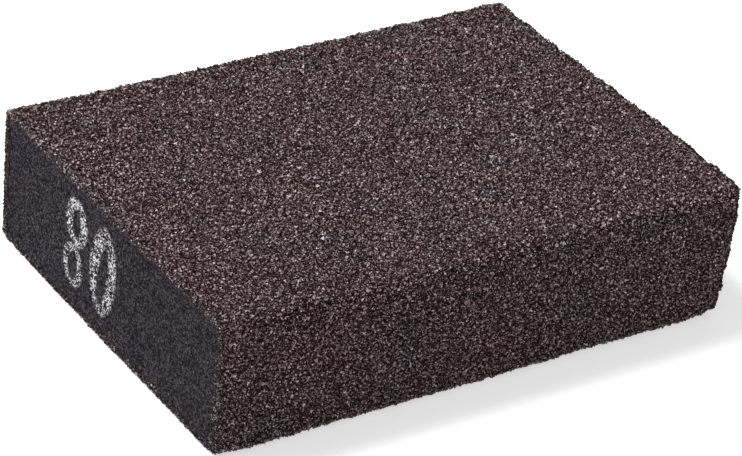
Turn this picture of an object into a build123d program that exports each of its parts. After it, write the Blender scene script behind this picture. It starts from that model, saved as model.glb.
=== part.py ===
"""Sanding sponge: a block of soft foam with an abrasive coat wrapped around its four long faces.

Frame: +X along the block, +Y across it, +Z up.  The origin is the middle of the underside.
The printed, bare end of the foam is at -X.  All sizes are in millimetres.
"""

import os

from build123d import *

# ---------------------------------------------------------------- driving dimensions
LENGTH = 100.0  # along X, measured on the top face
WIDTH = 75.0  # across Y, over the coat
HEIGHT = 25.0  # up Z, over the coat
COAT_THICKNESS = 0.8  # resin and grit together
EDGE_RADIUS = 2.0  # rounding of the four long edges, over the coat
FAR_END_SLANT = 1.2  # how far the saw cut at +X runs in towards the underside

# ---------------------------------------------------------------- sizes that follow from them
CORE_WIDTH = WIDTH - 2 * COAT_THICKNESS
CORE_HEIGHT = HEIGHT - 2 * COAT_THICKNESS
CORE_RADIUS = EDGE_RADIUS - COAT_THICKNESS
MID_HEIGHT = HEIGHT / 2

# The section of the block stands on this plane, at the printed end, and is pushed out along +X.
section_plane = Plane(origin=(-LENGTH / 2, 0, MID_HEIGHT), x_dir=(0, 1, 0), z_dir=(1, 0, 0))

# The far end was cut a little out of square: flush with +X at the top, short of it at the underside.
far_end_top = Vector(LENGTH / 2, 0, HEIGHT)
far_end_foot = Vector(LENGTH / 2 - FAR_END_SLANT, 0, 0)
cut_up_the_end = (far_end_top - far_end_foot).normalized()
far_end_plane = Plane(
    origin=far_end_foot,
    x_dir=(0, 1, 0),
    z_dir=Vector(0, 1, 0).cross(cut_up_the_end),
)

# ---------------------------------------------------------------- foam block
# One piece of fine-celled foam.  Both of its ends are left bare.
with BuildPart() as foam_block:
    with BuildSketch(section_plane):
        RectangleRounded(CORE_WIDTH, CORE_HEIGHT, CORE_RADIUS)
    extrude(amount=LENGTH)
    split(bisect_by=far_end_plane, keep=Keep.BOTTOM)

foam_block.part.label = "foam_block"

# ---------------------------------------------------------------- grit coat
# Abrasive grains in cured resin.  It goes right round the four long faces as one closed sleeve.
with BuildPart() as grit_coat:
    with BuildSketch(section_plane):
        RectangleRounded(WIDTH, HEIGHT, EDGE_RADIUS)
        RectangleRounded(CORE_WIDTH, CORE_HEIGHT, CORE_RADIUS, mode=Mode.SUBTRACT)
    extrude(amount=LENGTH)
    split(bisect_by=far_end_plane, keep=Keep.BOTTOM)

grit_coat.part.label = "grit_coat"

# ---------------------------------------------------------------- write the pieces
os.makedirs("parts", exist_ok=True)
export_step(foam_block.part, "parts/foam_block.step")
export_step(grit_coat.part, "parts/grit_coat.step")

for piece in (foam_block.part, grit_coat.part):
    box = piece.bounding_box()
    print(piece.label, "volume", round(piece.volume, 1), "min", box.min, "max", box.max)
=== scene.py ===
import math

import bpy
import numpy as np
from mathutils import Matrix, Vector


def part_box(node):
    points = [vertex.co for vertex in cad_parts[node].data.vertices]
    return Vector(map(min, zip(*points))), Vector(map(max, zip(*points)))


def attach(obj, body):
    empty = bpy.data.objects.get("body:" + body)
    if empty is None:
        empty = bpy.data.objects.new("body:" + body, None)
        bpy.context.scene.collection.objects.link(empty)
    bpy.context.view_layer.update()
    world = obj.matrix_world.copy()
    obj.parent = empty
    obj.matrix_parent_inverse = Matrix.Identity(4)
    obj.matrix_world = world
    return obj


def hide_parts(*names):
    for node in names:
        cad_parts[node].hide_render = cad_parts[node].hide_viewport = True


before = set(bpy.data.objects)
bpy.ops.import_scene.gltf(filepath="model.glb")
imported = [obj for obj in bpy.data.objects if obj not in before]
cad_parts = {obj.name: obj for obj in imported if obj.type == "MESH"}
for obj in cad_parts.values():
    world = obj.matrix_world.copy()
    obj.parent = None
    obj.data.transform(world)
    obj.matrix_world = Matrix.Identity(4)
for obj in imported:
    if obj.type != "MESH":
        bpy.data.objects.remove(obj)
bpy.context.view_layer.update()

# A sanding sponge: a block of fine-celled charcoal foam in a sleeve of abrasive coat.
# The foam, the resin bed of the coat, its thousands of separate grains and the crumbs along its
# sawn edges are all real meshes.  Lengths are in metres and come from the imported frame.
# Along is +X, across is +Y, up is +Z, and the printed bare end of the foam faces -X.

MM = 0.001

# ---------------------------------------------------------------- sizes taken from the frame
coat_low, coat_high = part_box("grit_coat")
foam_low, foam_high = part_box("foam_block")

LENGTH = coat_high.x - coat_low.x
WIDTH = coat_high.y - coat_low.y
HEIGHT = coat_high.z - coat_low.z
COAT_THICKNESS = foam_low.z - coat_low.z
END_SLANT = (coat_high.x - foam_high.x) / COAT_THICKNESS * HEIGHT
EDGE_RADIUS = 2.0 * MM

# ---------------------------------------------------------------- sizes of the surface itself
GRAIN_STAND = 0.26 * MM  # how far the grains stand out of the resin bed
GRAIN_RADIUS = 0.215 * MM
GRAINS_PER_MM2 = 8.0
BASE_GRAINS_PER_MM2 = 5.6
FOAM_PITCH = 0.236 * MM
FOAM_CELL = 0.46 * MM
BED_PITCH = 0.66 * MM
PIT_DEPTH = 0.26 * MM  # how deep the foam's open cells are
SWELL = 0.14 * MM  # how far the faces of the soft block wander from flat
FLOOR_CLEARANCE = 0.1 * MM  # below this height, points are eased back up to the floor
MARGIN_REACH = 3.8 * MM  # the furthest in over a sawn end that broken grains lie

# ---------------------------------------------------------------- repeatable noise
HASH_PRIMES = (374761393, 668265263, 1274126177)


def hashed(seed, *cells):
    """A repeatable random number from 0 to 1 for each whole-numbered cell."""
    h = np.full(np.shape(cells[0]), seed * 7919 + 17, np.uint32)
    for cell, prime in zip(cells, HASH_PRIMES):
        h ^= (cell.astype(np.int64) & 0xFFFFFFFF).astype(np.uint32) * np.uint32(prime)
        h ^= h >> np.uint32(15)
        h *= np.uint32(2246822519)
        h ^= h >> np.uint32(13)
    return h / 4294967295.0


def soft_noise(points, size, seed):
    """Smooth noise from -1 to 1, which changes over about size metres."""
    scaled = points / size
    corner = np.floor(scaled).astype(np.int64)
    share = scaled - corner
    share = share * share * (3 - 2 * share)
    total = np.zeros(len(points))
    for step in np.ndindex(2, 2, 2):
        step = np.array(step)
        weight = np.prod(np.where(step == 1, share, 1 - share), axis=1)
        cell = corner + step
        total += weight * hashed(seed, cell[:, 0], cell[:, 1], cell[:, 2])
    return 2 * total - 1


def cell_walls(across, up, size, seed):
    """0 in the middle of an open foam cell, up to 1 on the wall between two cells."""
    u = across / size
    v = up / size
    nearest = np.full(np.shape(u), 9.0)
    second = np.full(np.shape(u), 9.0)
    for step_u in (-1, 0, 1):
        for step_v in (-1, 0, 1):
            cell_u = np.floor(u).astype(np.int64) + step_u
            cell_v = np.floor(v).astype(np.int64) + step_v
            point_u = cell_u + 0.1 + 0.8 * hashed(seed, cell_u, cell_v)
            point_v = cell_v + 0.1 + 0.8 * hashed(seed + 1, cell_u, cell_v)
            gap = np.hypot(point_u - u, point_v - v)
            second = np.minimum(second, np.maximum(nearest, gap))
            nearest = np.minimum(nearest, gap)
    return np.exp(-(((second - nearest) / 0.25) ** 2))


# ---------------------------------------------------------------- shape of the block
def far_end_x(up):
    """Where the sawn far end lies at each height."""
    return coat_high.x - END_SLANT * (1 - (up - coat_low.z) / HEIGHT)


def section(share, inset):
    """The section inset from its outline, at each share of the way round from the middle of the
    underside: across, up, outward direction and direction of travel."""
    radius = EDGE_RADIUS - inset
    half_flat = WIDTH / 2 - EDGE_RADIUS
    upright = HEIGHT - 2 * EDGE_RADIUS
    low = coat_low.z + EDGE_RADIUS
    high = coat_high.z - EDGE_RADIUS
    quarter = math.pi / 2 * radius
    corners = (
        (half_flat, half_flat, low),
        (upright, half_flat, high),
        (2 * half_flat, -half_flat, high),
        (upright, -half_flat, low),
    )
    travelled = np.asarray(share) * (4 * half_flat + 2 * upright + 4 * quarter)
    angle = np.zeros_like(travelled)
    offset = np.zeros_like(travelled)
    centre_y = np.zeros_like(travelled)
    centre_z = np.zeros_like(travelled)
    start = 0.0
    for number, (flat, y, z) in enumerate(corners):
        here = travelled >= start
        reach = travelled[here] - start
        angle[here] = (number - 1) * math.pi / 2 + np.clip(reach - flat, 0, quarter) / radius
        offset[here] = np.minimum(reach - flat, 0) + np.maximum(reach - flat - quarter, 0)
        centre_y[here] = y
        centre_z[here] = z
        start += flat + quarter
    out = np.stack([np.cos(angle), np.sin(angle)], axis=-1)
    travel = np.stack([-out[..., 1], out[..., 0]], axis=-1)
    y = centre_y + radius * out[..., 0] + offset * travel[..., 0]
    z = centre_z + radius * out[..., 1] + offset * travel[..., 1]
    return y, z, out, travel


# Sawn edges that handling has rounded.  Each joins an end (-1 near, 1 far) to a side face (the
# axis it faces along and the direction it faces in), and has its own radius.
ROUNDED_EDGES = (
    (1, 1, -1, 1.5 * MM),
    (-1, 1, -1, 1.0 * MM),
    (1, 1, 1, 0.8 * MM),
    (-1, 1, 1, 0.6 * MM),
    (1, 2, 1, 0.6 * MM),
    (-1, 2, 1, 0.5 * MM),
    (1, 2, -1, 0.8 * MM),
    (-1, 2, -1, 0.6 * MM),
)

# Where the soft block is pushed out of true: the place in shares of its length, width and
# height, how far the push reaches, and how far it moves the surface.
BULGES = (
    ((0.00, 1.00, 1.00), 13.0 * MM, (0.0, 0.20 * MM, 0.40 * MM)),
    ((0.28, 1.00, 1.00), 15.0 * MM, (0.0, 0.0, 0.08 * MM)),
    ((0.70, 1.00, 1.00), 16.0 * MM, (0.0, 0.0, -0.16 * MM)),
    ((1.00, 0.25, 1.00), 19.0 * MM, (0.65 * MM, 0.0, 0.05 * MM)),
    ((0.00, 0.75, 0.00), 26.0 * MM, (-0.32 * MM, 0.0, 0.0)),
    ((0.72, 0.00, 0.00), 24.0 * MM, (0.0, 0.22 * MM, 0.12 * MM)),
    ((0.00, 0.00, 0.00), 3.6 * MM, (0.30 * MM, 0.35 * MM, 0.40 * MM)),
    ((1.00, 0.00, 0.00), 4.5 * MM, (-0.55 * MM, 0.45 * MM, 0.60 * MM)),
    ((1.00, 0.00, 1.00), 3.0 * MM, (-0.20 * MM, 0.15 * MM, -0.25 * MM)),
)


def settled(points):
    """Points of an exact block, moved to where soft foam really sits: faces swell and sink a
    little, and handled edges and corners pull in."""
    moved = points.copy()
    for axis in range(3):
        moved[:, axis] += SWELL * soft_noise(points, 26.0 * MM, 60 + axis)
        moved[:, axis] += 0.5 * SWELL * soft_noise(points, 9.0 * MM, 70 + axis)
    for shares, reach, push in BULGES:
        spot = np.array(coat_low) + np.array(shares) * (LENGTH, WIDTH, HEIGHT)
        gap = np.linalg.norm(points - spot, axis=1)
        moved += np.exp(-((gap / reach) ** 2))[:, None] * np.array(push)
    for end, axis, side, radius in ROUNDED_EDGES:
        end_x = far_end_x(moved[:, 2]) if end > 0 else coat_low.x
        face = coat_high[axis] if side > 0 else coat_low[axis]
        past_end = end * (moved[:, 0] - end_x) + radius
        past_face = side * (moved[:, axis] - face) + radius
        near = (past_end > 0) & (past_face > 0)
        kept = np.maximum(past_end, past_face)[near] / np.hypot(past_end, past_face)[near]
        moved[near, 0] -= end * past_end[near] * (1 - kept)
        moved[near, axis] -= side * past_face[near] * (1 - kept)
    low = moved[:, 2] < coat_low.z + FLOOR_CLEARANCE
    sunk = (moved[low, 2] - coat_low.z) / FLOOR_CLEARANCE
    moved[low, 2] = coat_low.z + FLOOR_CLEARANCE * np.exp(sunk - 1)
    return moved


def coat_relief(points):
    """Height of the resin bed above or below its middle level: broad waves and small lumps."""
    return (
        0.02 * MM * soft_noise(points, 4.5 * MM, 11)
        + 0.13 * MM * soft_noise(points, 1.05 * MM, 12)
        + 0.16 * MM * soft_noise(points, 0.6 * MM, 13)
    )


def torn_lumps(points):
    """How far the torn coat stands out or falls back along the edges of the far end."""
    near_edge = np.clip(1 - (far_end_x(points[:, 2]) - points[:, 0]) / (1.3 * MM), 0, 1)
    return 0.34 * MM * near_edge * soft_noise(points * (0.0, 1.0, 1.0), 1.4 * MM, 83)


# ---------------------------------------------------------------- meshes from arrays
def make_piece(name, points, faces, face_uv, material, smooth):
    """A mesh piece from points, triangles or quads, and a map position for each face corner."""
    mesh = bpy.data.meshes.new(name)
    corners = faces.shape[1]
    mesh.vertices.add(len(points))
    mesh.vertices.foreach_set("co", points.astype(np.float32).ravel())
    mesh.loops.add(faces.size)
    mesh.loops.foreach_set("vertex_index", faces.astype(np.int32).ravel())
    mesh.polygons.add(len(faces))
    mesh.polygons.foreach_set("loop_start", np.arange(0, faces.size, corners, dtype=np.int32))
    mesh.polygons.foreach_set("loop_total", np.full(len(faces), corners, np.int32))
    mesh.polygons.foreach_set("use_smooth", np.full(len(faces), smooth))
    mesh.update(calc_edges=True)
    layer = mesh.uv_layers.new(name="OFBake")
    layer.data.foreach_set("uv", face_uv.astype(np.float32).ravel())
    mesh.materials.append(material)
    piece = bpy.data.objects.new(name, mesh)
    bpy.context.scene.collection.objects.link(piece)
    return piece


def add_value(piece, name, values):
    """Stores one number for each point of a piece, for its material to read."""
    layer = piece.data.attributes.new(name, "FLOAT", "POINT")
    layer.data.foreach_set("value", values.astype(np.float32))


# ---------------------------------------------------------------- node helpers
def put(tree, kind, values=None, **settings):
    """A node with its input values and settings filled in."""
    node = tree.nodes.new(kind)
    for key, value in settings.items():
        setattr(node, key, value)
    for key, value in (values or {}).items():
        node.inputs[key].default_value = value
    return node


def ramp(tree, source, stops, interpolation="LINEAR"):
    """A colour ramp fed by source; stops are (place, colour)."""
    node = put(tree, "ShaderNodeValToRGB")
    node.color_ramp.interpolation = interpolation
    while len(node.color_ramp.elements) < len(stops):
        node.color_ramp.elements.new(0.5)
    for element, (place, colour) in zip(node.color_ramp.elements, stops):
        element.position = place
        element.color = (*colour, 1.0)
    tree.links.new(source, node.inputs["Fac"])
    return node.outputs["Color"]


def spread(tree, source, low, high, to_low=0.0, to_high=1.0):
    """Maps the range low to high of source onto to_low to to_high, clamped."""
    node = put(tree, "ShaderNodeMapRange", {1: low, 2: high, 3: to_low, 4: to_high})
    tree.links.new(source, node.inputs[0])
    return node.outputs[0]


def sum_up(tree, operation, first, second, clamp=False):
    """One Math node; first and second are sockets or plain numbers."""
    node = put(tree, "ShaderNodeMath", operation=operation, use_clamp=clamp)
    for index, value in enumerate((first, second)):
        if isinstance(value, bpy.types.NodeSocket):
            tree.links.new(value, node.inputs[index])
        else:
            node.inputs[index].default_value = value
    return node.outputs[0]


def blend_colours(tree, mask, first, second, kind="MIX"):
    """Joins two colours by a mask; the mask and the colours are sockets or plain values."""
    node = put(tree, "ShaderNodeMix", data_type="RGBA", blend_type=kind)
    for index, value in ((0, mask), (6, first), (7, second)):
        if isinstance(value, bpy.types.NodeSocket):
            tree.links.new(value, node.inputs[index])
        elif index == 0:
            node.inputs[index].default_value = value
        else:
            node.inputs[index].default_value = (*value, 1.0)
    return node.outputs[2]


def new_group(name, inputs, outputs):
    """A shader node group with named inputs and outputs; returns the tree and its two ends."""
    tree = bpy.data.node_groups.new(name, "ShaderNodeTree")
    for label, kind, value in inputs:
        socket = tree.interface.new_socket(name=label, in_out="INPUT", socket_type=kind)
        socket.default_value = value
    for label, kind in outputs:
        tree.interface.new_socket(name=label, in_out="OUTPUT", socket_type=kind)
    return tree, tree.nodes.new("NodeGroupInput"), tree.nodes.new("NodeGroupOutput")


def use_group(tree, group, values=None):
    """Places a node group in a material with its own values."""
    node = tree.nodes.new("ShaderNodeGroup")
    node.node_tree = group
    for key, value in (values or {}).items():
        if isinstance(value, bpy.types.NodeSocket):
            tree.links.new(value, node.inputs[key])
        else:
            node.inputs[key].default_value = value
    return node


# ---------------------------------------------------------------- shared effects
def make_mottling():
    """Cloudy patches that pull a colour towards a warm or a cool tint, as on coated foam."""
    tree, given, result = new_group(
        "Mottling",
        [
            ("Colour", "NodeSocketColor", (0.1, 0.1, 0.1, 1.0)),
            ("Warm tint", "NodeSocketColor", (1.2, 1.0, 0.9, 1.0)),
            ("Cool tint", "NodeSocketColor", (0.8, 0.9, 1.1, 1.0)),
            ("Patches per metre", "NodeSocketFloat", 120.0),
            ("Strength", "NodeSocketFloat", 0.6),
        ],
        [("Colour", "NodeSocketColor")],
    )
    place = put(tree, "ShaderNodeTexCoord")
    clouds = put(tree, "ShaderNodeTexNoise", {"Detail": 3.0, "Roughness": 0.6})
    tree.links.new(place.outputs["Object"], clouds.inputs["Vector"])
    tree.links.new(given.outputs["Patches per metre"], clouds.inputs["Scale"])
    side = spread(tree, clouds.outputs[0], 0.36, 0.64)
    tint = blend_colours(tree, side, given.outputs["Cool tint"], given.outputs["Warm tint"])
    strength = given.outputs["Strength"]
    tinted = blend_colours(tree, strength, given.outputs["Colour"], tint, "MULTIPLY")
    tree.links.new(tinted, result.inputs["Colour"])
    return tree


def make_fine_cells():
    """Fine cells, each with its own random level, and the walls between them."""
    tree, given, result = new_group(
        "Fine cells",
        [
            ("Cells per metre", "NodeSocketFloat", 2500.0),
            ("Unevenness", "NodeSocketFloat", 1.0),
        ],
        [("Level", "NodeSocketFloat"), ("Wall", "NodeSocketFloat")],
    )
    place = put(tree, "ShaderNodeTexCoord")
    levels = put(tree, "ShaderNodeTexVoronoi")
    walls = put(tree, "ShaderNodeTexVoronoi", feature="DISTANCE_TO_EDGE")
    for cells in (levels, walls):
        tree.links.new(place.outputs["Object"], cells.inputs["Vector"])
        tree.links.new(given.outputs["Cells per metre"], cells.inputs["Scale"])
        tree.links.new(given.outputs["Unevenness"], cells.inputs["Randomness"])
    split_up = put(tree, "ShaderNodeSeparateColor")
    tree.links.new(levels.outputs["Color"], split_up.inputs[0])
    tree.links.new(split_up.outputs[0], result.inputs["Level"])
    wall = spread(tree, walls.outputs["Distance"], 0.0, 0.3, 1.0, 0.0)
    tree.links.new(wall, result.inputs["Wall"])
    return tree


OVAL_LABELS = ("across", "up", "half width", "half height", "lean")


def make_printed_loop():
    """A closed loop of ink on the end face, between an outside oval and its open counter."""
    labels = [part + " " + label for part in ("Outside", "Counter") for label in OVAL_LABELS]
    tree, given, result = new_group(
        "Printed loop",
        [(label, "NodeSocketFloat", 1.0) for label in labels],
        [("Mask", "NodeSocketFloat")],
    )
    place = put(tree, "ShaderNodeTexCoord")
    axes = put(tree, "ShaderNodeSeparateXYZ")
    tree.links.new(place.outputs["Object"], axes.inputs[0])

    def oval(part):
        """Squared distance from the middle of an oval, where 1 is its rim."""
        middle_y, middle_z, half_width, half_height, lean = (
            given.outputs[part + " " + label] for label in OVAL_LABELS
        )
        up = sum_up(tree, "SUBTRACT", axes.outputs["Z"], middle_z)
        across = sum_up(tree, "SUBTRACT", axes.outputs["Y"], middle_y)
        across = sum_up(tree, "SUBTRACT", across, sum_up(tree, "MULTIPLY", up, lean))
        across = sum_up(tree, "DIVIDE", across, half_width)
        up = sum_up(tree, "DIVIDE", up, half_height)
        across = sum_up(tree, "MULTIPLY", across, across)
        up = sum_up(tree, "MULTIPLY", up, up)
        return sum_up(tree, "ADD", across, up)

    inside = spread(tree, oval("Outside"), 0.86, 1.10, 1.0, 0.0)
    beyond = spread(tree, oval("Counter"), 0.75, 1.35)
    tree.links.new(sum_up(tree, "MULTIPLY", inside, beyond), result.inputs["Mask"])
    return tree


mottling = make_mottling()
fine_cells = make_fine_cells()
printed_loop = make_printed_loop()


def start_material(name, specular):
    """An empty material with its Principled shader and output joined."""
    material = bpy.data.materials.new(name)
    material.use_nodes = True
    tree = material.node_tree
    tree.nodes.clear()
    shader = put(tree, "ShaderNodeBsdfPrincipled", {"Specular IOR Level": specular})
    output = put(tree, "ShaderNodeOutputMaterial")
    tree.links.new(shader.outputs[0], output.inputs["Surface"])
    return material, tree, shader


# ---------------------------------------------------------------- materials
BROWN_TINT = (1.17, 0.98, 0.92, 1.0)
SLATE_TINT = (0.87, 0.97, 1.06, 1.0)

# The printed grade number on the bare end, as loops of ink.  Each is an outside oval and an open
# counter, and each of those is its middle, its half size and how far it leans.
NUMBER_LOOPS = (
    ((10.9 * MM, 17.0 * MM, 3.8 * MM, 4.5 * MM, 0.0), (10.8 * MM, 16.8 * MM, 1.4 * MM, 2.7 * MM, 0.0)),
    ((11.7 * MM, 8.5 * MM, 3.4 * MM, 4.1 * MM, 0.0), (11.8 * MM, 8.4 * MM, 1.7 * MM, 2.7 * MM, -0.10)),
    ((1.5 * MM, 12.8 * MM, 4.3 * MM, 8.5 * MM, -0.07), (1.7 * MM, 11.8 * MM, 1.5 * MM, 6.2 * MM, -0.16)),
)


def make_foam_material():
    """Charcoal foam with fine open cells, and a grade number in pale ink that they break up."""
    material, tree, shader = start_material("charcoal_foam", 0.08)
    wall = put(tree, "ShaderNodeAttribute", attribute_name="cell_wall").outputs["Fac"]
    cells = use_group(tree, fine_cells, {"Cells per metre": 3000.0})
    dust = use_group(tree, fine_cells, {"Cells per metre": 5600.0})
    height = sum_up(tree, "MULTIPLY", cells.outputs["Wall"], 0.5)
    height = sum_up(tree, "ADD", sum_up(tree, "MULTIPLY", wall, 0.5), height)
    level = sum_up(tree, "MULTIPLY", cells.outputs["Level"], 0.50)
    level = sum_up(tree, "ADD", level, sum_up(tree, "MULTIPLY", dust.outputs["Level"], 0.32))
    # Painted shade: the cell walls are painted lighter and the open cells between them darker.
    level = sum_up(tree, "ADD", level, sum_up(tree, "MULTIPLY", wall, 0.26))
    level = spread(tree, level, 0.15, 1.0)
    colour = ramp(
        tree,
        level,
        (
            (0.0, (0.002, 0.0015, 0.002)),
            (0.45, (0.0148, 0.0120, 0.0154)),
            (1.0, (0.115, 0.099, 0.118)),
        ),
    )
    clouds = use_group(
        tree,
        mottling,
        {
            "Colour": colour,
            "Warm tint": (1.12, 1.02, 0.98, 1.0),
            "Cool tint": (0.92, 0.95, 1.05, 1.0),
            "Patches per metre": 130.0,
            "Strength": 0.35,
        },
    )
    ink = 0.0
    for outside, counter in NUMBER_LOOPS:
        values = {"Outside " + label: number for label, number in zip(OVAL_LABELS, outside)}
        values.update({"Counter " + label: number for label, number in zip(OVAL_LABELS, counter)})
        loop = use_group(tree, printed_loop, values)
        ink = sum_up(tree, "MAXIMUM", ink, loop.outputs["Mask"])
    place = put(tree, "ShaderNodeTexCoord")
    axes = put(tree, "ShaderNodeSeparateXYZ")
    tree.links.new(place.outputs["Object"], axes.inputs[0])
    near_end = spread(tree, axes.outputs["X"], coat_low.x + 1.0 * MM, coat_low.x + 2.0 * MM, 1.0, 0.0)
    raised = use_group(tree, fine_cells, {"Cells per metre": 4400.0})
    missed = put(tree, "ShaderNodeTexNoise", {"Scale": 420.0, "Detail": 1.0})
    tree.links.new(place.outputs["Object"], missed.inputs["Vector"])
    dabs = sum_up(tree, "ADD", raised.outputs["Level"], missed.outputs[0])
    dots = spread(tree, dabs, 1.12, 1.25)
    ink = sum_up(tree, "MULTIPLY", ink, sum_up(tree, "MULTIPLY", dots, near_end), clamp=True)
    inked = blend_colours(tree, ink, clouds.outputs["Colour"], (0.66, 0.64, 0.68))
    tree.links.new(inked, shader.inputs["Base Color"])
    roughness = spread(tree, level, 0.0, 1.0, 0.95, 0.72)
    tree.links.new(roughness, shader.inputs["Roughness"])
    bump = put(tree, "ShaderNodeBump", {"Strength": 0.7, "Distance": 0.14 * MM})
    tree.links.new(height, bump.inputs["Height"])
    tree.links.new(bump.outputs[0], shader.inputs["Normal"])
    return material


def make_bed_material():
    """The cured resin that the grains stand in: nearly black, partly the resin's own colour and
    partly painted shade for the hollows between the grains; pitted and uneven in gloss.
    """
    material, tree, shader = start_material("grit_resin", 0.05)
    cells = use_group(tree, fine_cells, {"Cells per metre": 2600.0})
    colour = ramp(
        tree,
        cells.outputs["Level"],
        (
            (0.0, (0.004, 0.001, 0.002)),
            (0.55, (0.009, 0.003, 0.004)),
            (1.0, (0.031, 0.015, 0.017)),
        ),
    )
    clouds = use_group(
        tree,
        mottling,
        {"Colour": colour, "Warm tint": BROWN_TINT, "Cool tint": SLATE_TINT, "Patches per metre": 90.0},
    )
    tree.links.new(clouds.outputs["Colour"], shader.inputs["Base Color"])
    roughness = spread(tree, cells.outputs["Level"], 0.0, 1.0, 0.85, 0.5)
    tree.links.new(roughness, shader.inputs["Roughness"])
    bump = put(tree, "ShaderNodeBump", {"Strength": 0.8, "Distance": 0.12 * MM})
    tree.links.new(cells.outputs["Wall"], bump.inputs["Height"])
    tree.links.new(bump.outputs[0], shader.inputs["Normal"])
    return material


def make_grain_material(name, tones, strength):
    """Abrasive grains.  Each grain reads its own tone, with painted shade towards its foot, its
    facets are speckled at random, partly the mineral's own speckle and partly painted glints, and
    patches of the coat tint it."""
    material, tree, shader = start_material(name, 0.14)
    # The tone attribute holds each grain's own tone, with painted shade towards its foot.
    tone = put(tree, "ShaderNodeAttribute", attribute_name="tone").outputs["Fac"]
    # A random speckle over the facets, partly the mineral's own speckle and partly painted glints.
    speckle_and_glints = use_group(tree, fine_cells, {"Cells per metre": 6500.0})
    speckle_and_glint_level = spread(tree, speckle_and_glints.outputs["Level"], 0.0, 1.0, 0.32, 1.68)
    level = sum_up(tree, "MULTIPLY", tone, speckle_and_glint_level)
    colour = ramp(tree, level, tones)
    clouds = use_group(
        tree,
        mottling,
        {
            "Colour": colour,
            "Warm tint": BROWN_TINT,
            "Cool tint": SLATE_TINT,
            "Patches per metre": 90.0,
            "Strength": strength,
        },
    )
    tree.links.new(clouds.outputs["Colour"], shader.inputs["Base Color"])
    roughness = spread(tree, tone, 0.0, 1.0, 0.62, 0.34)
    tree.links.new(roughness, shader.inputs["Roughness"])
    return material


COAT_TONES = (
    (0.0, (0.006, 0.001, 0.002)),
    (0.18, (0.022, 0.010, 0.011)),
    (0.42, (0.160, 0.106, 0.112)),
    (0.75, (0.308, 0.254, 0.258)),
    (1.0, (0.500, 0.462, 0.462)),
)
CRUMB_TONES = (
    (0.0, (0.004, 0.002, 0.002)),
    (0.25, (0.030, 0.019, 0.018)),
    (0.60, (0.135, 0.098, 0.092)),
    (0.80, (0.270, 0.250, 0.246)),
    (1.0, (0.470, 0.470, 0.480)),
)

foam_material = make_foam_material()
bed_material = make_bed_material()
grain_material = make_grain_material("abrasive_grain", COAT_TONES, 0.45)
crumb_material = make_grain_material("broken_edge_grain", CRUMB_TONES, 0.3)


# ---------------------------------------------------------------- foam block
def rounded_corner(across, up, half_across, half_up, radius):
    """Bends the square corners of a grid onto round ones without folding it."""
    over_y = np.abs(across) - (half_across - radius)
    over_z = np.abs(up) - (half_up - radius)
    corner = (over_y > 0) & (over_z > 0)
    scale = np.ones_like(across)
    scale[corner] = np.maximum(over_y, over_z)[corner] / np.hypot(over_y, over_z)[corner]
    bent_y = np.where(corner, np.sign(across) * (half_across - radius + over_y * scale), across)
    bent_z = np.where(corner, np.sign(up) * (half_up - radius + over_z * scale), up)
    return bent_y, bent_z


def make_foam():
    """The foam: two finely pitted sawn ends, joined by plain sides that the coat covers."""
    half_y = (foam_high.y - foam_low.y) / 2
    half_z = (foam_high.z - foam_low.z) / 2
    middle_z = (foam_high.z + foam_low.z) / 2
    columns = round(2 * half_y / FOAM_PITCH)
    rows = round(2 * half_z / FOAM_PITCH)
    share_y, share_z = np.meshgrid(
        np.linspace(0, 1, columns + 1), np.linspace(0, 1, rows + 1), indexing="ij"
    )
    flat_y = (2 * share_y.ravel() - 1) * half_y
    flat_z = (2 * share_z.ravel() - 1) * half_z
    across, up = rounded_corner(flat_y, flat_z, half_y, half_z, EDGE_RADIUS - COAT_THICKNESS)
    up = up + middle_z
    rim = np.minimum(half_y - np.abs(flat_y), half_z - np.abs(flat_z))
    open_cells = 0.25 + 0.75 * np.clip(rim / (1.2 * MM), 0, 1)
    ends = []
    walls = []
    for seed, side in ((21, 1), (31, -1)):
        wall = cell_walls(across, up, FOAM_CELL, seed)
        fine = cell_walls(across, up, 0.6 * FOAM_CELL, seed + 4)
        wall = 0.65 * wall + 0.35 * fine
        face_x = coat_low.x if side > 0 else far_end_x(up)
        points = np.stack([np.zeros_like(across) + face_x, across, up], axis=1)
        depth = PIT_DEPTH * (1 - wall) + 0.02 * MM * (1 + soft_noise(points, 2.2 * MM, seed + 6))
        points[:, 0] += side * depth * open_cells
        ends.append(points)
        walls.append(wall)
    number = np.arange((columns + 1) * (rows + 1)).reshape(columns + 1, rows + 1)
    quads = np.stack(
        [number[:-1, :-1], number[:-1, 1:], number[1:, 1:], number[1:, :-1]], axis=-1
    ).reshape(-1, 4)
    rim_loop = np.concatenate(
        [number[:, 0], number[-1, 1:], number[-2::-1, -1], number[0, -2:0:-1]]
    )
    beyond = number.size
    next_rim = np.roll(rim_loop, -1)
    side_quads = np.stack([rim_loop, next_rim, next_rim + beyond, rim_loop + beyond], axis=1)
    faces = np.concatenate([quads, quads[:, ::-1] + beyond, side_quads])
    band = 0.34
    flat_uv = np.stack([share_y.ravel(), share_z.ravel() * band], axis=1)
    steps = np.arange(len(rim_loop)) / len(rim_loop)
    step = 1 / len(rim_loop)
    side_uv = np.stack(
        [
            np.stack([steps, np.full_like(steps, 2 * band + 0.04)], axis=1),
            np.stack([steps + step, np.full_like(steps, 2 * band + 0.04)], axis=1),
            np.stack([steps + step, np.ones_like(steps)], axis=1),
            np.stack([steps, np.ones_like(steps)], axis=1),
        ],
        axis=1,
    )
    face_uv = np.concatenate(
        [flat_uv[quads], flat_uv[quads[:, ::-1]] + np.array((0, band + 0.02)), side_uv]
    )
    points = settled(np.concatenate(ends))
    piece = make_piece("foam", points, faces, face_uv, foam_material, True)
    add_value(piece, "cell_wall", np.concatenate(walls))
    return piece


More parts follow.
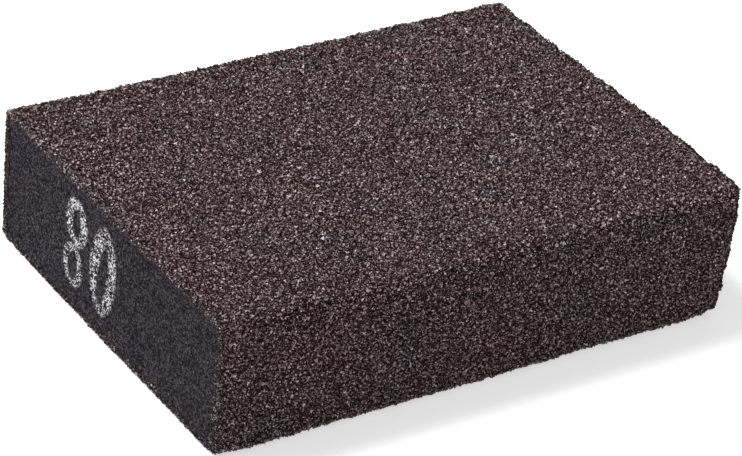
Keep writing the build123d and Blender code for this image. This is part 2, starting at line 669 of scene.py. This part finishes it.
# ---------------------------------------------------------------- resin bed of the coat
def make_bed():
    """The coat without its grains: a closed sleeve with a lumpy outside and ragged sawn edges."""
    round_steps = round(2 * (WIDTH + HEIGHT) / BED_PITCH)
    along_steps = round(LENGTH / BED_PITCH)
    share = np.arange(round_steps) / round_steps
    rings = []

    def ring(along, inset, ragged, seed):
        """One ring of points round the coat, inset from its outline and torn along its length."""
        y, z, out, _ = section(share, inset)
        near = np.full_like(y, coat_low.x)
        x = near + along * (far_end_x(z) - near)
        points = np.stack([x, y, z], axis=1)
        lumps = coat_relief(points) + torn_lumps(points) if inset < COAT_THICKNESS else 0.0
        points[:, 1] += out[:, 0] * lumps
        points[:, 2] += out[:, 1] * lumps
        fine_tear = soft_noise(points, 0.8 * MM, seed)
        tear = ragged * MM * (fine_tear + soft_noise(points, 4.0 * MM, seed + 1))
        points[:, 0] += tear if along < 0.5 else torn_lumps(points) - tear
        rings.append(points)

    rim = 0.22 * MM / LENGTH
    ring(0.0, COAT_THICKNESS, 0.05, 41)
    ring(0.0, GRAIN_STAND + 0.22 * MM, 0.13, 42)
    for along in np.linspace(0, 1, along_steps + 1):
        held = min(max(along, rim), 1 - rim)
        ring(held, GRAIN_STAND, 0.10 if held != along else 0.0, 43)
    ring(1.0, GRAIN_STAND + 0.22 * MM, 0.13, 44)
    ring(1.0, COAT_THICKNESS, 0.05, 45)
    count = len(rings)
    number = np.arange(count * round_steps).reshape(count, round_steps)
    here, after = number, np.roll(number, -1, axis=0)
    faces = np.stack(
        [here, np.roll(here, -1, axis=1), np.roll(after, -1, axis=1), after], axis=-1
    ).reshape(-1, 4)
    across = np.append(np.linspace(0, 0.93, count), 1.0)
    around = np.linspace(0, 1, round_steps + 1)
    low_u = np.repeat(across[:-1], round_steps)
    high_u = np.repeat(across[1:], round_steps)
    low_v = np.tile(around[:-1], count)
    high_v = np.tile(around[1:], count)
    face_uv = np.stack(
        [
            np.stack([low_u, low_v], axis=1),
            np.stack([low_u, high_v], axis=1),
            np.stack([high_u, high_v], axis=1),
            np.stack([high_u, low_v], axis=1),
        ],
        axis=1,
    )
    points = settled(np.concatenate(rings))
    return make_piece("grit_bed", points, faces, face_uv, bed_material, True)


# ---------------------------------------------------------------- grains
THIRDS = np.arange(3) * 2 * math.pi / 3


def level_ring(angles, height):
    """Points on a unit circle at one height."""
    return [(math.cos(a), math.sin(a), height) for a in angles]


# Two simple crystal habits, a splinter and a chunk: how common each is, its size beside the
# other, its points, and its triangles.
CRYSTALS = (
    (
        0.50,
        1.25,
        np.array(level_ring(THIRDS, -0.33) + [(0, 0, 1.0)]),
        np.array([(0, 1, 3), (1, 2, 3), (2, 0, 3), (2, 1, 0)]),
    ),
    (
        0.50,
        1.0,
        np.array(level_ring(THIRDS, 0.0) + [(0, 0, 1.05), (0, 0, -1.0)]),
        np.array([(0, 1, 3), (1, 2, 3), (2, 0, 3), (1, 0, 4), (2, 1, 4), (0, 2, 4)]),
    ),
)


def random_turns(random, count):
    """Rotation matrices spread evenly over all directions."""
    q = random.normal(size=(count, 4))
    q /= np.linalg.norm(q, axis=1)[:, None]
    w, x, y, z = q.T
    return np.stack(
        [
            np.stack([1 - 2 * (y * y + z * z), 2 * (x * y - z * w), 2 * (x * z + y * w)], axis=1),
            np.stack([2 * (x * y + z * w), 1 - 2 * (x * x + z * z), 2 * (y * z - x * w)], axis=1),
            np.stack([2 * (x * z - y * w), 2 * (y * z + x * w), 1 - 2 * (x * x + y * y)], axis=1),
        ],
        axis=1,
    )


def make_grains(name, random, centres, frames, sizes, stands, tones, spots, spot_size, material):
    """One piece of many closed crystals.  frames holds each grain's three local directions, the
    last of them outward.  A point high above the resin is painted pale and a low one dark, as
    painted shade in the hollows between the grains.
    spots and spot_size place each grain on the piece's flat map."""
    habit = random.choice(len(CRYSTALS), len(centres), p=[c[0] for c in CRYSTALS])
    all_points, all_faces, all_uv, tones_with_painted_shade, heights = [], [], [], [], []
    first = 0
    for number, (_, bulk, form, triangles) in enumerate(CRYSTALS):
        chosen = np.flatnonzero(habit == number)
        count = len(chosen)
        shape = form[None] * (1 + 0.30 * random.uniform(-1, 1, (count, len(form), 3)))
        shape = shape * random.uniform(0.72, 1.22, (count, 1, 3)) * (bulk * sizes[chosen, None, None])
        local = np.einsum("nij,nkj->nki", random_turns(random, count), shape)
        points = centres[chosen, None] + np.einsum("nka,nai->nki", local, frames[chosen])
        corner = local[:, triangles]
        facing = np.cross(corner[:, :, 1] - corner[:, :, 0], corner[:, :, 2] - corner[:, :, 0])
        middle = corner.mean(axis=2)
        inward = np.einsum("nfi,nfi->nf", facing, middle - local.mean(axis=1)[:, None]) < 0
        facing[inward] *= -1
        mirrored = np.linalg.det(frames[chosen]) < 0
        turned = inward != mirrored[:, None]
        faces = np.where(turned[..., None], triangles[None, :, ::-1], triangles[None])
        slope = facing[..., 2] / np.maximum(np.linalg.norm(facing, axis=-1), 1e-18)
        flat = spots[chosen, None] + local[..., :2] / spot_size
        uv = flat[np.arange(count)[:, None, None], faces]
        uv = 0.01 + 0.98 * np.clip(uv, 0, 1)
        under = (slope < -0.15)[..., None]
        uv[..., 1] = np.where(under, 0.93 + 0.07 * uv[..., 1], 0.92 * uv[..., 1])
        all_points.append(points.reshape(-1, 3))
        all_faces.append((faces + first + np.arange(count)[:, None, None] * len(form)).reshape(-1, 3))
        all_uv.append(uv.reshape(-1, 3, 2))
        # Painted shade: each point's tone falls to 8 % of the grain's own as the point sinks towards the
        # resin bed.
        painted_shade_by_height = np.clip(0.5 + (local[..., 2] + stands[chosen, None]) / (1.5 * GRAIN_RADIUS), 0, 1)
        tones_with_painted_shade.append((tones[chosen, None] * (0.08 + 0.92 * painted_shade_by_height)).ravel())
        heights.append(middle[..., 2].ravel())
        first += count * len(form)
    points = settled(np.concatenate(all_points))
    order = np.argsort(np.concatenate(heights), kind="stable")
    faces = np.concatenate(all_faces)[order]
    face_uv = np.concatenate(all_uv)[order]
    piece = make_piece(name, points, faces, face_uv, material, False)
    add_value(piece, "tone", np.concatenate(tones_with_painted_shade))
    return piece


def grain_frames(out, travel):
    """Local directions of each grain: along the block, round it, and outward."""
    frames = np.zeros((len(out), 3, 3))
    frames[:, 0, 0] = 1
    frames[:, 1, 1:] = travel
    frames[:, 2, 1:] = out
    return frames


def grain_sizes(random, count, radius):
    """Radii of sieved grains: mostly alike, with a few small and large ones."""
    return radius * np.clip(np.exp(0.24 * random.normal(size=count)), 0.55, 1.75)


def evened_out(random, column, row, values):
    """Deals values out to a grid of grains so that each block of four gets a low, a high and two
    middling ones, and no patch of the coat comes out darker than the rest by chance."""
    block = (column // 2) * (row.max() // 2 + 1) + row // 2
    order = np.lexsort((random.uniform(size=len(block)), block))
    place = np.zeros(len(block))
    place[order] = np.arange(len(block)) - np.searchsorted(block[order], block[order])
    rank = np.argsort(np.argsort((place + random.uniform(size=len(block))) / 4))
    return np.sort(values)[rank]


def make_coat_band(name, seed, start, end, per_mm2):
    """The grains of one lengthwise band of the coat, from share start to share end round it."""
    random = np.random.default_rng(seed)
    girth = 2 * (WIDTH + HEIGHT) - (8 - 2 * math.pi) * EDGE_RADIUS
    band = (end - start) * girth
    spacing = MM / math.sqrt(per_mm2)
    columns = round(LENGTH / spacing)
    rows = round(band / spacing)
    column, row = np.meshgrid(np.arange(columns), np.arange(rows), indexing="ij")
    shift = random.uniform(-0.46, 0.46, (2, column.size))
    along = (column.ravel() + 0.5 + shift[0] + 0.25 * (row.ravel() % 2)) / (columns + 0.25)
    round_it = (row.ravel() + 0.5 + shift[1]) / rows
    y, z, out, travel = section(start + round_it * (end - start), GRAIN_STAND)
    x = coat_low.x + along * (far_end_x(z) - coat_low.x)
    centres = np.stack([x, y, z], axis=1)
    sizes = grain_sizes(random, len(x), GRAIN_RADIUS * (GRAINS_PER_MM2 / per_mm2) ** 0.5)
    stand = sizes * random.uniform(-0.25, 0.45, len(x))
    lumps = torn_lumps(centres)
    lift = stand + coat_relief(centres) + lumps
    centres[:, 0] += lumps
    centres[:, 1] += out[:, 0] * lift
    centres[:, 2] += out[:, 1] * lift
    tones = evened_out(random, column.ravel(), row.ravel(), random.beta(2.0, 2.6, len(x)))
    tones = tones + 0.6 * rubbed(centres) * (0.50 - tones)
    spots = np.stack([along, round_it], axis=1)
    frames = grain_frames(out, travel)
    spot_size = np.array((LENGTH, band))
    return make_grains(
        name, random, centres, frames, sizes, stand, tones, spots, spot_size, grain_material
    )


def torn_paleness_and_top_highlight(x, y, z):
    """How much paler the broken grains are painted along the near end's edges: most along its top
    edge towards the back corner, where this is partly torn resin and partly a painted highlight,
    and a little half way up its front edge, where it is torn resin."""
    near = x < 0
    places = np.stack([x, y, z], axis=1)
    patches = 0.5 + 0.9 * soft_noise(places, 2.6 * MM, 91) + 0.5 * soft_noise(places, 0.9 * MM, 92)
    patches += 0.6 * np.clip((y - 18 * MM) / (14 * MM), 0, 1)
    # Painted highlight: the top edge, which faces the light, is painted paler, more so towards the back
    # corner.
    top = np.clip((z - coat_high.z) / (0.9 * MM) + 1.6, 0, 1)
    top = top * (0.45 + 0.55 * np.clip(y / (30 * MM), 0, 1))
    front = np.clip((coat_low.y - y) / (0.9 * MM) + 1.6, 0, 1)
    front = 0.60 * front * np.exp(-(((z - 0.55 * HEIGHT) / (6.0 * MM)) ** 2))
    return near * np.clip(patches, 0, 1) * np.maximum(top, front)


def rubbed(points):
    """How far the grains are rubbed to one even tone round the top front corner of the near end."""
    corner = np.array((coat_low.x, coat_low.y, coat_high.z))
    gap = np.linalg.norm((points - corner) / (5.0 * MM, 3.6 * MM, 3.0 * MM), axis=1)
    return np.exp(-(gap**2))


def torn_margin(far, y, z):
    """How far in from the outline the coat's torn edge reaches over each sawn end.  On the near
    end it spreads furthest down the handled front edge, and a little along the back one."""
    edge = np.stack([np.where(far, 1.0, -1.0) * LENGTH, y, z], axis=1)
    ragged = 0.50 * soft_noise(edge, 1.8 * MM, 81) + 0.30 * soft_noise(edge, 0.8 * MM, 82)
    front = np.clip((coat_low.y + 2.2 * MM - y) / (1.2 * MM), 0, 1)
    back = np.clip((y - coat_high.y + 2.2 * MM) / (1.2 * MM), 0, 1)
    height = (z - coat_low.z) / HEIGHT
    foot = np.exp(-((height / 0.22) ** 2))
    below_top = np.clip((1 - height) / 0.12, 0, 1)
    base = np.clip((0.10 - height) / 0.05, 0, 1)
    extra = front * below_top * (1.25 + 1.1 * foot) + 1.0 * back * below_top + 0.45 * base
    return (0.95 + 0.6 * ragged + np.where(far, 0.0, extra * (1 + 0.4 * ragged))) * MM


def make_crumbs():
    """Broken grains along the coat's sawn edges at both ends, paler where the resin has torn and,
    along the near end's top edge, also with a painted highlight.
    """
    random = np.random.default_rng(77)
    girth = 2 * (WIDTH + HEIGHT)
    per_end = round(girth * MARGIN_REACH / MM**2 * 13.0)
    share = np.tile((np.arange(per_end) + random.uniform(0, 1, per_end)) / per_end, 2)
    far = np.repeat((False, True), per_end)
    inset = random.uniform(0.10 * MM, MARGIN_REACH, 2 * per_end)
    y, z, out, travel = section(share, 0.5 * COAT_THICKNESS)
    kept = inset < torn_margin(far, y, z)
    share, far, inset, y, z, out, travel = (a[kept] for a in (share, far, inset, y, z, out, travel))
    y -= out[:, 0] * (inset - 0.5 * COAT_THICKNESS)
    z -= out[:, 1] * (inset - 0.5 * COAT_THICKNESS)
    jut = random.uniform(-0.16, 0.08, len(share)) * MM
    x = np.where(far, far_end_x(z) + jut, coat_low.x - jut)
    centres = np.stack([x, y, z], axis=1)
    centres[:, 0] += np.where(far, torn_lumps(centres), 0.0)
    sizes = grain_sizes(random, len(share), 0.82 * GRAIN_RADIUS)
    # Crumbs are paler where the coat tore, and along the near end's top edge also from a painted
    # highlight.
    tones = random.beta(2.0, 2.8, len(share)) + 0.55 * torn_paleness_and_top_highlight(x, y, z)
    frames = np.zeros((len(share), 3, 3))
    frames[:, 0, 1:] = travel
    frames[:, 1, 1:] = out
    frames[:, 2, 0] = np.where(far, 1, -1)
    across = np.where(far, 0.75, 0.25) + 0.45 * (inset / MARGIN_REACH - 0.5)
    return make_grains(
        "broken_edge_grains",
        random,
        centres,
        frames,
        sizes,
        jut,
        np.clip(tones, 0, 1),
        np.stack([share, across], axis=1),
        np.array((girth, MARGIN_REACH / 0.45)),
        crumb_material,
    )


foam = make_foam()
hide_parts("foam_block")

grit_bed = make_bed()
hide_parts("grit_coat")

# The coat's grains, in bands that follow one another round the block from the middle of its base.
BANDS = ("base_back", "back", "top_back", "top_front", "front", "base_front")
coat_pieces = [grit_bed, make_crumbs()]
for number, place in enumerate(BANDS):
    start = number / len(BANDS)
    per_mm2 = BASE_GRAINS_PER_MM2 if "base" in place else GRAINS_PER_MM2
    end = start + 1 / len(BANDS)
    coat_pieces.append(make_coat_band("grains_" + place, 100 + number, start, end, per_mm2))

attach(foam, "root")
for piece in coat_pieces:
    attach(piece, "root")


# ---------------------------------------------------------------- floor, lights and camera
FLOOR_GLOW = 0.50  # how much lighter the floor looks to the camera and in reflections


def make_floor():
    """A plain pale floor.  The camera sees it lighter than it is, and it keeps the shadow."""
    material = bpy.data.materials.new("pale_floor")
    material.use_nodes = True
    tree = material.node_tree
    tree.nodes.clear()
    matt = put(tree, "ShaderNodeBsdfDiffuse", {"Color": (0.80, 0.80, 0.80, 1.0)})
    glow = put(tree, "ShaderNodeEmission", {"Color": (1.0, 1.0, 1.0, 1.0)})
    path = put(tree, "ShaderNodeLightPath")
    seen = sum_up(tree, "MAXIMUM", path.outputs["Is Camera Ray"], path.outputs["Is Glossy Ray"])
    seen = sum_up(tree, "MAXIMUM", seen, path.outputs["Is Transmission Ray"])
    tree.links.new(sum_up(tree, "MULTIPLY", seen, FLOOR_GLOW), glow.inputs["Strength"])
    both = put(tree, "ShaderNodeAddShader")
    output = put(tree, "ShaderNodeOutputMaterial")
    tree.links.new(matt.outputs[0], both.inputs[0])
    tree.links.new(glow.outputs[0], both.inputs[1])
    tree.links.new(both.outputs[0], output.inputs["Surface"])
    half = 4.0
    corners = [(-half, -half, 0), (half, -half, 0), (half, half, 0), (-half, half, 0)]
    mesh = bpy.data.meshes.new("floor")
    mesh.from_pydata(corners, [], [(0, 1, 2, 3)])
    mesh.materials.append(material)
    floor = bpy.data.objects.new("floor", mesh)
    bpy.context.scene.collection.objects.link(floor)


def add_softbox(name, place, aim, size, watts):
    """A square soft light at place, turned towards aim."""
    data = bpy.data.lights.new(name, "AREA")
    data.shape = "SQUARE"
    data.size = size
    data.energy = watts
    light = bpy.data.objects.new(name, data)
    light.location = place
    light.rotation_euler = (Vector(aim) - Vector(place)).to_track_quat("-Z", "Y").to_euler()
    bpy.context.scene.collection.objects.link(light)


def add_camera(target, azimuth, elevation, roll, distance, lens):
    """A camera at distance from target; azimuth 0 looks along +Y, and roll tips it clockwise."""
    turn, rise = math.radians(azimuth), math.radians(elevation)
    level = math.cos(rise)
    back = Vector((math.sin(turn) * level, -math.cos(turn) * level, math.sin(rise)))
    data = bpy.data.cameras.new("camera")
    data.lens = lens
    data.sensor_width = 36.0
    data.clip_end = 20.0
    camera = bpy.data.objects.new("camera", data)
    facing = (-back).to_track_quat("-Z", "Y").to_matrix()
    facing = facing @ Matrix.Rotation(math.radians(roll), 3, "Z")
    camera.matrix_world = Matrix.Translation(Vector(target) + back * distance) @ facing.to_4x4()
    bpy.context.scene.collection.objects.link(camera)
    bpy.context.scene.camera = camera


make_floor()
middle = (0.0, 0.0, HEIGHT / 2)
add_softbox("key_light", (-0.30, 0.30, 0.80), middle, 0.30, 12.0)
add_softbox("fill_light", (-0.35, -0.75, 0.35), middle, 0.6, 2.7)
world = bpy.data.worlds.new("soft_daylight")
bpy.context.scene.world = world
world.use_nodes = True
world.node_tree.nodes["Background"].inputs["Color"].default_value = (1.0, 1.0, 1.0, 1.0)
world.node_tree.nodes["Background"].inputs["Strength"].default_value = 0.28

add_camera(
    target=(0.99 * MM, 0.0, 9.08 * MM),
    azimuth=-34.57,
    elevation=31.33,
    roll=5.25,
    distance=573.5 * MM,
    lens=163.2,
)
bpy.context.scene.view_settings.view_transform = "Standard"
